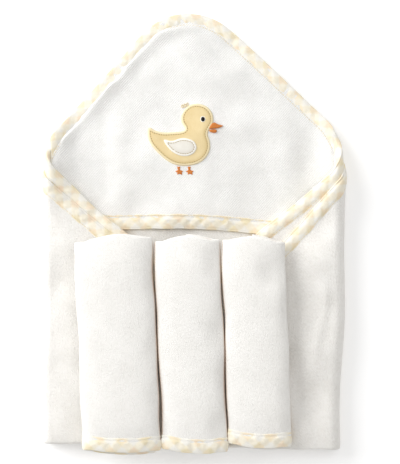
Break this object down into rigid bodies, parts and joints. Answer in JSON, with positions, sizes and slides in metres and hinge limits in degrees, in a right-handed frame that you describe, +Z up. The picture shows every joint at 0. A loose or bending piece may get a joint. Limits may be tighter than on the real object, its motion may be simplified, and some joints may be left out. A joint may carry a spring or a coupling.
{
  "type": "hooded baby towel",
  "caption": "Hooded baby towel folded flat with its side corners crossed in front, gingham binding, a duckling on a hood that lifts at its front edge, and rolled washcloths lying on top.",
  "frame": {"origin": "on the underside of the folded towel, in the middle of its width and height as it lies", "axes": "+Z up off the surface it lies on, +Y towards the point of the hood, +X towards the duckling's bill"},
  "size_m": [0.312, 0.4507, 0.0494],
  "materials": {
    "terry": "looped cotton pile, undyed white",
    "gingham": "plain-weave cotton tape in white, pale yellow and peach checks",
    "cotton_thread": "cream cotton sewing thread",
    "yellow_cloth": "fine pale yellow cotton",
    "cream_cloth": "fine off-white cotton",
    "gold_thread": "tan embroidery thread",
    "orange_thread": "orange satin stitch",
    "black_thread": "near-black satin stitch"
  },
  "bodies": {
    "towel": {"towel_square": "terry", "front_edge_binding": "gingham", "back_edge_binding": "gingham", "hood_seam_topstitch": "cotton_thread", "left_inner_lapel_topstitch": "cotton_thread", "left_outer_lapel_topstitch": "cotton_thread", "right_inner_lapel_topstitch": "cotton_thread", "right_outer_lapel_topstitch": "cotton_thread", "hood_sewn_part": "terry"},
    "hood": {"hood_panel": "terry", "hood_front_binding": "gingham", "hood_front_topstitch": "cotton_thread", "duck_body_patch": "yellow_cloth", "duck_wing_patch": "cream_cloth", "duck_body_topstitch": "gold_thread", "duck_wing_topstitch": "gold_thread", "duck_eye": "black_thread", "duck_upper_bill": "orange_thread", "duck_lower_bill": "orange_thread", "duck_left_foot": "orange_thread", "duck_right_foot": "orange_thread", "duck_tuft": "gold_thread"},
    "left_washcloth": {"left_washcloth": "terry", "left_washcloth_binding": "gingham", "left_washcloth_topstitch": "cotton_thread"},
    "middle_washcloth": {"middle_washcloth": "terry", "middle_washcloth_binding": "gingham", "middle_washcloth_topstitch": "cotton_thread"},
    "right_washcloth": {"right_washcloth": "terry", "right_washcloth_binding": "gingham", "right_washcloth_topstitch": "cotton_thread"}
  },
  "joints": [
    {"name": "hood_lift", "type": "hinge", "parent": "towel", "child": "hood", "pos_m": [-0.0108, 0.205, 0.0072], "axis": [-1, 0, 0], "range_deg": [0, 15]},
    {"name": "left_washcloth_lift", "type": "slide", "parent": "towel", "child": "left_washcloth", "axis": [0, 0, 1], "range_m": [0, 0.1]},
    {"name": "middle_washcloth_lift", "type": "slide", "parent": "towel", "child": "middle_washcloth", "axis": [0, 0, 1], "range_m": [0, 0.1]},
    {"name": "right_washcloth_lift", "type": "slide", "parent": "towel", "child": "right_washcloth", "axis": [0, 0, 1], "range_m": [0, 0.1]}
  ]
}
